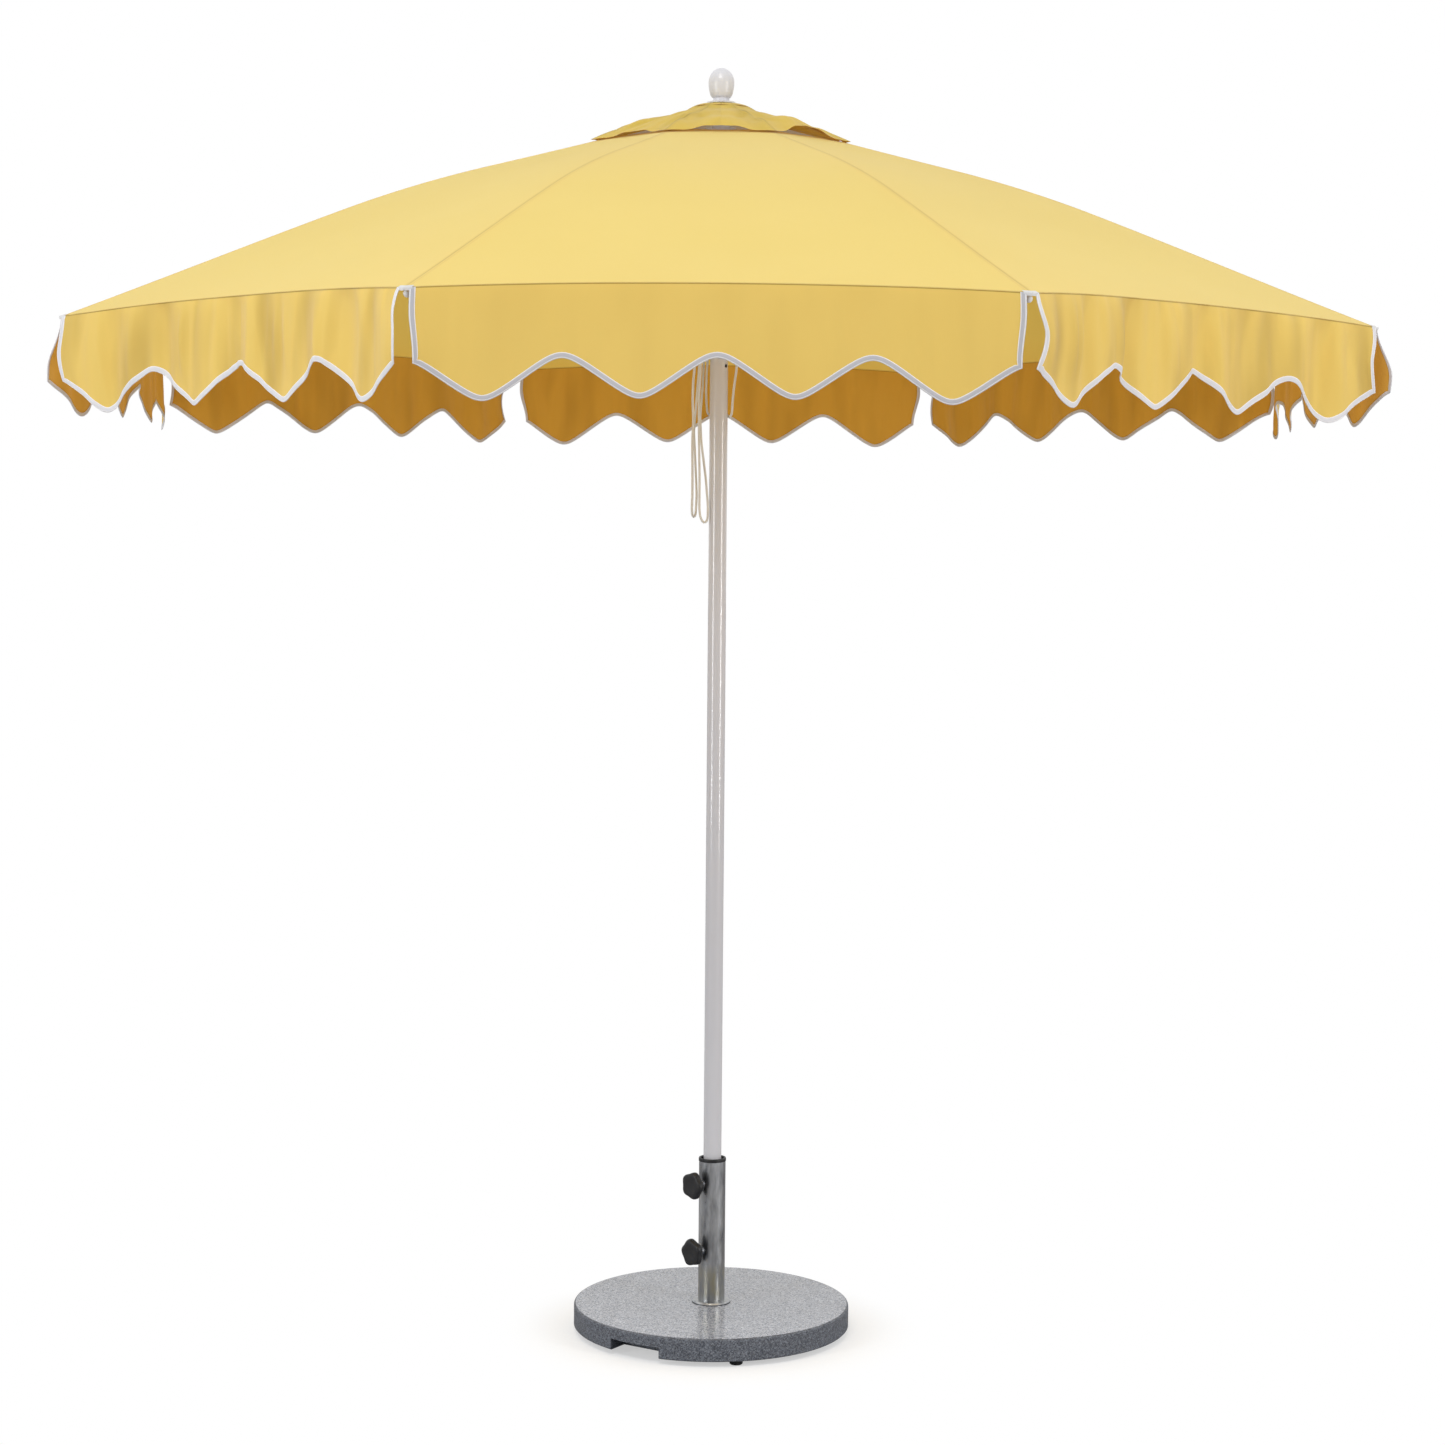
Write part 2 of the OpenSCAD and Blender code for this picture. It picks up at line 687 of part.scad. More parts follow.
// Five-lobed hand knob. turn sets how its lobes stand.
module clamp_knob(z, turn) {
    mean_r = knob_d / 2 - 2;
    lobe = 2;
    color("black") translate([0, 0, z]) rotate([0, 0, clamp_azimuth]) rotate([0, 90, 0]) difference() {
        union() {
            translate([0, 0, knob_start - knob_neck]) cylinder(r = 9, h = knob_neck);
            translate([0, 0, knob_start]) linear_extrude(knob_t)
                polygon([for (a = [0:6:354]) (mean_r + lobe * cos(5 * (a - turn))) * [cos(a), sin(a)]]);
        }
        translate([0, 0, knob_start - knob_neck - past])
            cylinder(r = stud_r + running, h = stud_end + 0.3 - knob_start + knob_neck + past);
    }
}

for (i = [1:8]) {
    rib(i);
    stretcher(i);
    canopy_gore(i);
    valance(i);
}
base_stone();
base_feet();
socket_tube();
socket_flange();
flange_gasket();
flange_screws();
socket_rim();
pole_bushes();
clamp_bosses();
clamp_stud(upper_clamp_z);  // upper_stud
clamp_knob(upper_clamp_z, 20);  // upper_knob
clamp_stud(lower_clamp_z);  // lower_stud
clamp_knob(lower_clamp_z, 50);  // lower_knob
pole();
pole_foot();
pole_plug();
top_hub();
hub_pins();
pulley_wheel();
pulley_axle();
vent_cap();
finial();
runner();
cord_cleat();
hoist_cord();
pull_cord();
cord_knot();
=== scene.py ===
import math

import bpy
import numpy as np
from mathutils import Matrix, Vector, noise

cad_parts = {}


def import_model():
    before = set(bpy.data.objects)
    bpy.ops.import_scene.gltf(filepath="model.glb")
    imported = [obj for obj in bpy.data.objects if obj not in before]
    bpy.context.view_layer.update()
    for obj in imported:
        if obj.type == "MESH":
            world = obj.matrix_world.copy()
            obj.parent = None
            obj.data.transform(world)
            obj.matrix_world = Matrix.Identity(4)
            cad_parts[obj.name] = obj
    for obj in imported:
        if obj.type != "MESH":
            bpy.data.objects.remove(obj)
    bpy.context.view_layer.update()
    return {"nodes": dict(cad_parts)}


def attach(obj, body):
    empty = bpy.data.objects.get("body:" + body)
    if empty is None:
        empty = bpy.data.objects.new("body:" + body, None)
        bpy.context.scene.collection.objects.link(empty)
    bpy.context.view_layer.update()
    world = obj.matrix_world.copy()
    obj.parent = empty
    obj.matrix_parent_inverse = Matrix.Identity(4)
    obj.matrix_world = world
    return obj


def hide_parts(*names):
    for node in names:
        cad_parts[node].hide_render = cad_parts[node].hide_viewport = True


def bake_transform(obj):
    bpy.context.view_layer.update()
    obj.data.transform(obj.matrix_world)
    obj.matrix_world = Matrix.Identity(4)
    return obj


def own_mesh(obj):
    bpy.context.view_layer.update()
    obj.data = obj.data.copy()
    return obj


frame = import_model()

scene = bpy.context.scene
scene.view_settings.view_transform = "Standard"

# ---------- sizes, in metres, as in the CAD model ----------
RIBS = 8
HALF = math.radians(22.5)
TIP_R = 1.3716
HEM_Z = 2.116
KINK_R = 0.660
KINK_Z = 2.404
CROWN_Z = 2.584
HINGE_R = 0.038
VENT_R = 0.240
HEM_INSET = 0.043
NOTCH_DROP = 0.125
LOBE_DROP = 0.195
IN_FALL = (CROWN_Z - KINK_Z) / (KINK_R - HINGE_R)
OUT_FALL = (KINK_Z - HEM_Z) / (TIP_R - KINK_R)
PANEL_FALL = OUT_FALL / math.cos(HALF)
CHORD = 2 * TIP_R * math.sin(HALF)


def azimuth(i):
    return HALF + math.radians(45) * (i - 1)


def turned(a, along, across, z):
    """A point at along and across, turned to azimuth a."""
    return Vector((along * math.cos(a) - across * math.sin(a), along * math.sin(a) + across * math.cos(a), z))


def smooth(t):
    t = min(max(t, 0.0), 1.0)
    return t * t * (3 - 2 * t)


# ---------- materials ----------
def tree_of(name):
    m = bpy.data.materials.new(name)
    m.use_nodes = True
    m.node_tree.nodes.clear()
    return m, m.node_tree


def add(tree, kind, link=(), **values):
    """A node. values set its properties or inputs by name; link is pairs of input name and output socket."""
    n = tree.nodes.new(kind)
    for k, v in values.items():
        if k in n.bl_rna.properties and k != "inputs":
            setattr(n, k, v)
        else:
            n.inputs[k.replace("_", " ")].default_value = v
    for k, s in link:
        tree.links.new(s, n.inputs[k])
    return n


def darker(colour, share):
    return tuple(share * c for c in colour)


def math_node(tree, op, a, b=None, c=None):
    n = tree.nodes.new("ShaderNodeMath")
    n.operation = op
    for k, v in enumerate((a, b, c)):
        if v is None:
            continue
        if isinstance(v, (int, float)):
            n.inputs[k].default_value = v
        else:
            tree.links.new(v, n.inputs[k])
    return n.outputs[0]


def ramp(tree, fac, *stops):
    n = tree.nodes.new("ShaderNodeValToRGB")
    while len(n.color_ramp.elements) < len(stops):
        n.color_ramp.elements.new(0.5)
    for e, (p, c) in zip(n.color_ramp.elements, stops):
        e.position = p
        e.color = (*c, 1) if len(c) == 3 else c
    tree.links.new(fac, n.inputs[0])
    return n.outputs[0]


def mixed(tree, fac, a, b, blend="MIX"):
    n = tree.nodes.new("ShaderNodeMix")
    n.data_type = "RGBA"
    n.blend_type = blend
    for k, v in ((0, fac), (6, a), (7, b)):
        if isinstance(v, tuple):
            n.inputs[k].default_value = (*v, 1)
        elif isinstance(v, (int, float)):
            n.inputs[k].default_value = v
        else:
            tree.links.new(v, n.inputs[k])
    return n.outputs[2]


def noise_of(tree, coord, scale, detail=2.0, rough=0.5):
    n = add(tree, "ShaderNodeTexNoise", Scale=scale, Detail=detail, Roughness=rough)
    tree.links.new(coord, n.inputs["Vector"])
    return n.outputs["Fac"]


def stretched(tree, coord, x, y, z):
    n = tree.nodes.new("ShaderNodeMapping")
    n.inputs["Scale"].default_value = (x, y, z)
    tree.links.new(coord, n.inputs["Vector"])
    return n.outputs[0]


def bump(tree, height, distance, strength=1.0, normal=None):
    n = add(tree, "ShaderNodeBump", Strength=strength, Distance=distance)
    tree.links.new(height, n.inputs["Height"])
    if normal is not None:
        tree.links.new(normal, n.inputs["Normal"])
    return n.outputs[0]


def finish_with(tree, shader):
    out = tree.nodes.new("ShaderNodeOutputMaterial")
    tree.links.new(shader, out.inputs["Surface"])


def object_coord(tree):
    return tree.nodes.new("ShaderNodeTexCoord").outputs["Object"]


def weave_height(tree, uv, thread):
    """Over and under of a plain weave whose threads are that far apart."""
    split = tree.nodes.new("ShaderNodeSeparateXYZ")
    tree.links.new(uv, split.inputs[0])
    k = math.pi / thread
    a = math_node(tree, "SINE", math_node(tree, "MULTIPLY", split.outputs[0], k))
    b = math_node(tree, "SINE", math_node(tree, "MULTIPLY", split.outputs[1], k))
    return math_node(tree, "MULTIPLY", a, b), split


def remapped(tree, value, old, new, easing="LINEAR"):
    """value taken from the range old to the range new, and held at its ends."""
    n = tree.nodes.new("ShaderNodeMapRange")
    n.interpolation_type = easing
    for k, v in zip(("From Min", "From Max", "To Min", "To Max"), (*old, *new)):
        n.inputs[k].default_value = v
    tree.links.new(value, n.inputs["Value"])
    return n.outputs[0]


def near(tree, value, centre, half_width):
    """1 where value is within half_width of centre, falling softly to 0."""
    d = math_node(tree, "ABSOLUTE", math_node(tree, "SUBTRACT", value, centre))
    return remapped(tree, d, (half_width, half_width * 2), (1, 0))


YELLOW = (0.93, 0.735, 0.215)
YELLOW_DEEP = (0.88, 0.68, 0.175)
# The valances' canvas: the canopy's yellow made redder and less blue, painted warm bounce light.
HANGING_PAINTED_BOUNCE = (0.96, 0.73, 0.20)
HANGING_DEEP_PAINTED_BOUNCE = (0.92, 0.68, 0.165)
# The cap's canvas: a darker, more orange yellow than the canopy's, painted shade.
CAP_YELLOW_PAINTED_SHADE = (0.75, 0.535, 0.068)
THROUGH = (0.70, 0.27, 0.013)
TAPE_THROUGH = (1.0, 0.99, 0.97)
# Tint multiplied into the cloth's back faces: painted shade and warm bounce light of the interior.
PAINTED_BACK_SHADE = (0.80, 0.62, 0.37)
UNTINTED = (1, 1, 1)
THREAD = 0.0011
STITCH = 0.0045


def canvas(name, light, deep, through, glow, seams=(), hem=None, edges=(), inside=PAINTED_BACK_SHADE, creased=0.0):
    """Woven canvas. light and deep are its two close shades, and through is the colour of light that comes
    through it, in the share glow. seams are (distance across, half width, strength) of sewn lines that run
    along the cloth, hem is the height of a dark line across it where the hem is sewn, painted shadow of the join
    with a groove in the bump, and edges are the places of white lines of painted highlight. inside is a tint
    multiplied into its back faces: painted shade and warm bounce light. creased is the depth of its upright
    creases, whose valleys are also painted darker as shade."""
    m, t = tree_of(name)
    coord = object_coord(t)
    uv = t.nodes.new("ShaderNodeTexCoord").outputs["UV"]
    weave, split = weave_height(t, uv, THREAD)
    cloudy = noise_of(t, coord, 3.2, 3.0)
    slub = noise_of(t, stretched(t, uv, 900, 60, 1), 1.0, 2.0)
    colour = mixed(t, cloudy, deep, light)
    colour = mixed(t, math_node(t, "MULTIPLY", slub, 0.16), colour, deep)
    height = math_node(t, "ADD", math_node(t, "MULTIPLY", weave, 0.25), math_node(t, "MULTIPLY", slub, 0.5))
    for centre, half_width, strength in seams:
        line = near(t, math_node(t, "ABSOLUTE", split.outputs[0]), centre, half_width)
        if centre > 0:
            dash = math_node(t, "SINE", math_node(t, "MULTIPLY", split.outputs[1], 2 * math.pi / STITCH))
            line = math_node(t, "MULTIPLY", line, math_node(t, "GREATER_THAN", dash, -0.3))
        colour = mixed(t, math_node(t, "MULTIPLY", line, strength), colour, darker(deep, 0.45))
        height = math_node(t, "SUBTRACT", height, math_node(t, "MULTIPLY", line, 1.2))
    # White lines along the tape's edges: painted highlight.
    for edge in edges:
        line = near(t, split.outputs[0], edge, 0.0006)
        colour = mixed(t, math_node(t, "MULTIPLY", line, 0.85), colour, (0.98, 0.97, 0.97))
    # A dark line across the cloth at the hem: painted shadow of the join, with a groove bump.
    if hem is not None:
        line = near(t, split.outputs[1], hem, 0.0006)
        colour = mixed(t, math_node(t, "MULTIPLY", line, 0.8), colour, darker(deep, 0.3))
        height = math_node(t, "SUBTRACT", height, math_node(t, "MULTIPLY", line, 1.5))
    creases = None
    if creased:
        tall = noise_of(t, stretched(t, uv, 14, 3.0, 1), 1.0, 1.6, 0.5)
        # The crease valleys are darkened toward deep: painted shade.
        shade = min(0.56, 0.05 + 26 * creased)
        colour = mixed(t, remapped(t, tall, (0.30, 0.54), (shade, 0.0)), colour, darker(deep, 0.56))
        creases = bump(t, tall, creased, 1.0)
    # Back faces are tinted by inside: painted shade and warm bounce light.
    side = t.nodes.new("ShaderNodeNewGeometry").outputs["Backfacing"]
    colour = mixed(t, side, colour, inside, "MULTIPLY")
    normal = bump(t, height, 0.0005, 0.45, creases)
    front = add(t, "ShaderNodeBsdfPrincipled", Roughness=0.88, Sheen_Weight=0.25, Sheen_Roughness=0.5,
                Specular_IOR_Level=0.25)
    t.links.new(colour, front.inputs["Base Color"])
    t.links.new(normal, front.inputs["Normal"])
    back = t.nodes.new("ShaderNodeBsdfTranslucent")
    back.inputs["Color"].default_value = (*through, 1)
    t.links.new(normal, back.inputs["Normal"])
    both = t.nodes.new("ShaderNodeMixShader")
    both.inputs[0].default_value = glow
    t.links.new(front.outputs[0], both.inputs[1])
    t.links.new(back.outputs[0], both.inputs[2])
    finish_with(t, both.outputs[0])
    return m


def plain(name, colour, rough, metallic=0.0, grain=300.0, depth=0.0002, vary=0.06, **extra):
    """Moulded, painted or cut material with a fine grain and slight variation of shade and gloss."""
    m, t = tree_of(name)
    coord = object_coord(t)
    fine = noise_of(t, coord, grain, 3.0)
    broad = noise_of(t, coord, 6.0, 2.0)
    dark = darker(colour, 1 - 2 * vary)
    blotches = math_node(t, "ADD", math_node(t, "MULTIPLY", broad, 0.7), math_node(t, "MULTIPLY", fine, 0.3))
    shade = mixed(t, blotches, dark, colour)
    p = add(t, "ShaderNodeBsdfPrincipled", Metallic=metallic, **extra)
    t.links.new(shade, p.inputs["Base Color"])
    t.links.new(remapped(t, broad, (0, 1), (rough * 0.88, rough * 1.15)), p.inputs["Roughness"])
    t.links.new(bump(t, fine, depth, 0.5), p.inputs["Normal"])
    finish_with(t, p.outputs[0])
    return m


SEAMS = ((0.0, 0.0009, 0.6), (0.006, 0.0005, 0.4))
canopy_look = canvas("canopy_canvas", YELLOW, YELLOW_DEEP, (0.98, 0.62, 0.09), 0.28, SEAMS,
                     hem=(TIP_R - 0.003) * 1.06, inside=(1, 0.89, 0.55))
valance_look = canvas("valance_canvas", HANGING_PAINTED_BOUNCE, HANGING_DEEP_PAINTED_BOUNCE, THROUGH, 0.30, hem=0.0012, creased=0.020)
taut_look = canvas("taut_valance_canvas", HANGING_PAINTED_BOUNCE, HANGING_DEEP_PAINTED_BOUNCE, THROUGH, 0.30, hem=0.0012, creased=0.0015)
cap_look = canvas("cap_canvas", CAP_YELLOW_PAINTED_SHADE, darker(CAP_YELLOW_PAINTED_SHADE, 0.92), THROUGH, 0.15, SEAMS, creased=0.010)
# Across the tape, where its two white lines of painted highlight lie
TAPE_HIGHLIGHT_LINES = (0.0002, 0.0084)
tape_look = canvas("binding_tape", (0.82, 0.83, 0.88), (0.72, 0.73, 0.79), TAPE_THROUGH, 0.22, edges=TAPE_HIGHLIGHT_LINES,
                   inside=UNTINTED)
# The front panel's binding: a darker copy of the tape, painted shade.
shaded_tape_look = canvas("shaded_binding_tape", (0.56, 0.57, 0.62), (0.49, 0.50, 0.55), TAPE_THROUGH, 0.20,
                          edges=TAPE_HIGHLIGHT_LINES, inside=UNTINTED)
webbing_look = canvas("strap_webbing", (0.78, 0.60, 0.24), (0.70, 0.52, 0.18), THROUGH, 0.10)
tab_look = canvas("corner_webbing", (0.80, 0.80, 0.80), (0.70, 0.70, 0.71), (0.8, 0.78, 0.74), 0.20,
                  inside=UNTINTED)
cord_look = canvas("braided_cord", (0.96, 0.95, 0.92), (0.86, 0.85, 0.82), (1.0, 1.0, 0.99), 0.45,
                   inside=UNTINTED)
paint_look = plain("white_paint", (0.70, 0.695, 0.73), 0.32, grain=900, depth=0.00005, vary=0.02,
                   Coat_Weight=0.9, Coat_Roughness=0.1)
rib_look = plain("rib_paint", (0.80, 0.79, 0.77), 0.42, grain=700, depth=0.00006, vary=0.03)
white_look = plain("white_plastic", (0.66, 0.65, 0.67), 0.30, grain=800, depth=0.00005, vary=0.02)
nylon_look = plain("grey_nylon", (0.30, 0.30, 0.31), 0.5, grain=500)
black_look = plain("black_plastic", (0.011, 0.011, 0.013), 0.46, grain=1100, depth=0.00012, vary=0.2)
rubber_look = plain("black_rubber", (0.014, 0.014, 0.015), 0.75, grain=600, depth=0.0002, vary=0.2)
screw_look = plain("screw_steel", (0.42, 0.42, 0.43), 0.32, metallic=1.0, grain=500, depth=0.00005)


def granite():
    """Speckled grey stone: polished on its level top, cut with a saw and honed on its rim, whose colour is painted
    darker as shade.
    """
    m, t = tree_of("granite")
    coord = object_coord(t)
    cells = add(t, "ShaderNodeTexVoronoi", Scale=470.0)
    t.links.new(coord, cells.inputs["Vector"])
    grey = t.nodes.new("ShaderNodeSeparateColor")
    t.links.new(cells.outputs["Color"], grey.inputs[0])
    grains = ramp(t, grey.outputs[0], (0.0, (0.02, 0.023, 0.032)), (0.18, (0.10, 0.11, 0.14)),
                  (0.42, (0.27, 0.29, 0.34)), (0.72, (0.42, 0.445, 0.51)), (1.0, (0.76, 0.80, 0.88)))
    patches = noise_of(t, coord, 26.0, 4.0, 0.6)
    body = mixed(t, 0.32, grains, mixed(t, patches, (0.16, 0.17, 0.21), (0.43, 0.46, 0.535)))
    face = t.nodes.new("ShaderNodeNewGeometry")
    up = t.nodes.new("ShaderNodeSeparateXYZ")
    t.links.new(face.outputs["True Normal"], up.inputs[0])
    top = near(t, up.outputs[2], 1.0, 0.02)
    # The rim's colour is darkened far below the top's: painted shade on the side faces.
    rim_painted_shade = mixed(t, 0.12, mixed(t, 1.0, body, (0.42, 0.43, 0.44), "MULTIPLY"), (0.03, 0.033, 0.038))
    colour = mixed(t, top, rim_painted_shade, body)
    p = add(t, "ShaderNodeBsdfPrincipled", Coat_Weight=0.0)
    t.links.new(colour, p.inputs["Base Color"])
    t.links.new(remapped(t, top, (0, 1), (0.55, 0.17)), p.inputs["Roughness"])
    depth = math_node(t, "MULTIPLY", grey.outputs[1], math_node(t, "SUBTRACT", 1.0, top))
    t.links.new(bump(t, depth, 0.0006, 0.6), p.inputs["Normal"])
    finish_with(t, p.outputs[0])
    return m


LOW_TINT_Z = 0.105


def stainless():
    """Tube steel, drawn lengthwise, with a faint yellow tint low down."""
    m, t = tree_of("stainless")
    coord = object_coord(t)
    drawn = noise_of(t, stretched(t, coord, 300, 300, 6), 1.0, 3.0, 0.6)
    clouds = noise_of(t, stretched(t, coord, 55, 55, 14), 1.0, 3.0, 0.6)
    cloudy = ramp(t, clouds, (0.34, (0, 0, 0)), (0.66, (1, 1, 1)))
    split = t.nodes.new("ShaderNodeSeparateXYZ")
    t.links.new(coord, split.inputs[0])
    low = near(t, split.outputs[2], LOW_TINT_Z, 0.022)
    steel = mixed(t, cloudy, (0.25, 0.26, 0.28), (0.62, 0.635, 0.655))
    steel = mixed(t, math_node(t, "MULTIPLY", drawn, 0.30), steel, (0.27, 0.27, 0.27))
    low_tint = math_node(t, "MULTIPLY", low, math_node(t, "MULTIPLY", cloudy, 0.8))
    steel = mixed(t, low_tint, steel, (0.36, 0.32, 0.19))
    p = add(t, "ShaderNodeBsdfPrincipled", Metallic=1.0, Anisotropic=0.35)
    t.links.new(steel, p.inputs["Base Color"])
    t.links.new(remapped(t, cloudy, (0, 1), (0.27, 0.42)), p.inputs["Roughness"])
    t.links.new(bump(t, drawn, 0.0001, 0.35), p.inputs["Normal"])
    finish_with(t, p.outputs[0])
    return m


granite_look = granite()
steel_look = stainless()


# ---------- mesh helpers ----------
def piece(name, points, faces, look, body=None, slot=None, uv=None, shade=True):
    mesh = bpy.data.meshes.new(name)
    mesh.from_pydata([tuple(p) for p in points], [], faces)
    if uv is not None:
        layer = mesh.uv_layers.new(name="UVMap")
        flat = np.array([uv[k] for f in faces for k in f], np.float32).ravel()
        layer.data.foreach_set("uv", flat)
    mesh.materials.append(look)
    if shade:
        mesh.polygons.foreach_set("use_smooth", [True] * len(mesh.polygons))
    mesh.update()
    o = bpy.data.objects.new(name, mesh)
    scene.collection.objects.link(o)
    if body is not None:
        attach(o, body)
    return o


def grid_faces(rows, columns, closed=False):
    faces = []
    for r in range(rows - 1):
        for c in range(columns if closed else columns - 1):
            d = (c + 1) % columns
            faces.append((r * columns + c, r * columns + d, (r + 1) * columns + d, (r + 1) * columns + c))
    return faces


def turned_over(faces):
    return [f[::-1] for f in faces]


# ---------- camera ----------
def make_camera():
    data = bpy.data.cameras.new("camera")
    data.sensor_width = 36
    data.lens = 72.07
    data.clip_end = 100
    cam = bpy.data.objects.new("camera", data)
    scene.collection.objects.link(cam)
    pitch, roll = math.radians(3.82), math.radians(0.49)
    cam.matrix_world = (Matrix.Translation((0.0137, -6.131, 1.718)) @ Matrix.Rotation(math.pi / 2 - pitch, 4, "X")
                        @ Matrix.Rotation(roll, 4, "Z"))
    scene.camera = cam


make_camera()

# ---------- cords ----------
CLEAT_Z, HORN_TURN = 2.098, 0.0082
WRAP_R, WRAP_Z, WRAP_STEP, WRAP_STEPS = 0.0229, 1.960, math.radians(-36), 5
FORWARD = (-10, 56, 123, 190)


def over_horn(x, angles=FORWARD):
    """Over a horn of the cleat, forward from behind it unless told otherwise."""
    return [(x, HORN_TURN * math.cos(math.radians(a)), CLEAT_Z + HORN_TURN * math.sin(math.radians(a)))
            for a in angles]


def mm(*points):
    return [tuple(c / 1000 for c in p) for p in points]


cord_route = (
    # down from the runner to the mast
    mm((-24, 0, 2094), (-24, 0, 2075), (-26, -3, 2045), (-27, -4, 2010), (-26, 2, 1985), (-24.5, 6, 1968))
    # behind the mast
    + [(WRAP_R * math.cos(math.pi + WRAP_STEP * k), WRAP_R * math.sin(math.pi + WRAP_STEP * k),
        WRAP_Z - 0.001 * k) for k in range(WRAP_STEPS + 1)]
    # up its right side and over the right horn
    + mm((25, -6, 1953), (28.5, -9, 1964), (29, -9, 1985), (32, -9, 2018), (36, -10, 2048), (39, -9, 2075))
    + over_horn(0.039, FORWARD[::-1])
    # round the back of the runner and over the left horn
    + mm((36, 14, 2087), (27, 27, 2082), (12, 34, 2079), (-6, 36, 2078), (-23, 31, 2079), (-38, 20, 2082),
         (-47, 11, 2088))
    + over_horn(-0.049)
    # two hanging loops
    + mm((-50, -10, 2070), (-54, -11, 2030), (-55, -11, 1990), (-53, -11, 1945), (-55, -12, 1900),
         (-54, -12, 1835), (-54, -12, 1785), (-55, -11, 1758), (-54, -8, 1745), (-51, -3, 1741), (-47, 2, 1745),
         (-45, 6, 1790), (-48, 7, 1850), (-52, 6, 1925), (-47, 6, 1990), (-42, 8, 2055))
    + over_horn(-0.041)
    + mm((-39, -11, 2070), (-39, -13, 2040), (-42, -15, 1990), (-41, -17, 1910), (-39, -18, 1830),
         (-39, -19, 1760), (-37, -20, 1742), (-31, -20, 1730), (-24, -19, 1730), (-21, -16, 1742),
         (-21, -13, 1768), (-26, -9, 1825), (-36, -4, 1900), (-39, 0, 1955), (-34, 4, 2020), (-32, 8, 2070))
    + over_horn(-0.032)
    # the end that the knot closes
    + mm((-31, -12, 2090), (-30, -14, 2083), (-30, -14, 2079)))


def softened(path, step=0.006, reach=2):
    """The route as evenly spaced points with its corners eased."""
    p = np.array(path, float)
    s = np.concatenate([[0], np.cumsum(np.linalg.norm(np.diff(p, axis=0), axis=1))])
    t = np.linspace(0, s[-1], int(s[-1] / step) + 1)
    q = np.stack([np.interp(t, s, p[:, k]) for k in range(3)], 1)
    for _ in range(reach):
        q[1:-1] = (q[:-2] + 2 * q[1:-1] + q[2:]) / 4
    return q


def tube(name, path, radius, look, sides=12, ripple=0.0, **more):
    """A round tube along a path, carried without twist. ripple raises the braid's strands."""
    p = np.array(path, float)
    n = len(p)
    tangent = np.gradient(p, axis=0)
    tangent /= np.linalg.norm(tangent, axis=1)[:, None]
    u = np.cross(tangent[0], (0.3, 0.9, 0.2))
    u /= np.linalg.norm(u)
    points, uv, run = [], [], 0.0
    for k in range(n):
        u = u - (u @ tangent[k]) * tangent[k]
        u /= np.linalg.norm(u)
        w = np.cross(tangent[k], u)
        if k:
            run += float(np.linalg.norm(p[k] - p[k - 1]))
        for j in range(sides):
            a = 2 * math.pi * j / sides
            r = radius + ripple * math.cos(4 * a + run * 900) * math.cos(4 * a - run * 900)
            points.append(p[k] + r * (math.cos(a) * u + math.sin(a) * w))
            uv.append((a * radius, run))
    faces = grid_faces(n, sides, closed=True)
    faces += [tuple(range(sides))[::-1], tuple((n - 1) * sides + j for j in range(sides))]
    return piece(name, points, faces, look, uv=uv, **more)


cord_line = softened(cord_route)
pull_cord = tube("pull_cord_braid", cord_line, 0.0025, cord_look, ripple=0.00012, body="runner_slider",
                 slot="white_cord")
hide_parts("pull_cord")


def knot():
    """Overhand stopper knot: a trefoil of the same cord, drawn tight."""
    centre = Vector(cord_route[-1]) - Vector((0, 0, 0.0062))
    size = 0.0024
    line = []
    for k in range(49):
        a = 2 * math.pi * k / 48
        line.append((centre.x + size * (math.sin(a) + 0.9 * math.sin(2 * a)),
                     centre.y + size * (math.cos(a) - 0.9 * math.cos(2 * a)),
                     centre.z - size * math.sin(3 * a)))
    return tube("cord_knot_braid", line, 0.0021, cord_look, sides=10, body="runner_slider", slot="white_cord")


knot_piece = knot()
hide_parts("cord_knot")

# ---------- canopy ----------
BLEND = 0.15


def profile(r):
    """Height of the cloth above the ground along a rib, with the bend over the kink eased."""
    if r < KINK_R - BLEND:
        z = KINK_Z + (KINK_R - r) * IN_FALL
    elif r > KINK_R + BLEND:
        z = HEM_Z + (TIP_R - r) * OUT_FALL
    else:
        x = r - (KINK_R - BLEND)
        z = KINK_Z + BLEND * IN_FALL - IN_FALL * x - (OUT_FALL - IN_FALL) * x * x / (4 * BLEND)
    lift = math.sin(math.pi * min(max((r - VENT_R) / (TIP_R - VENT_R), 0), 1)) ** 2
    return z + 0.0055 * lift


def drawn_in(r, c):
    """How far the panel is drawn in, c from 0 at a rib to 1 at mid-panel."""
    k = min(max((r - KINK_R) / (TIP_R - KINK_R), 0), 1)
    return HEM_INSET * k ** 1.6 * c * (2 - c)


def panel_point(i, side, c, r):
    a = azimuth(i) + side * HALF
    pulled = drawn_in(r, c)
    rho = r * math.cos(HALF) - pulled
    v = -side * r * math.sin(HALF) * (1 - c)
    sag = 0.008 * (r / TIP_R) * math.sin(math.pi * c / 2) ** 2 * (1 - 0.6 * smooth((r - 1.1) / 0.27))
    p = turned(a, rho, v, 0)
    ripple = 0.0012 * noise.noise(Vector((p.x * 3.1, p.y * 3.1, 0.3))) * min(c * 6, 1)
    p.z = profile(r) + pulled * PANEL_FALL - sag + ripple
    return p


GORE_ROWS, GORE_HALF = 44, 22
# Length along the sloping cloth for each unit of radius
SLOPE_RUN = 1.06


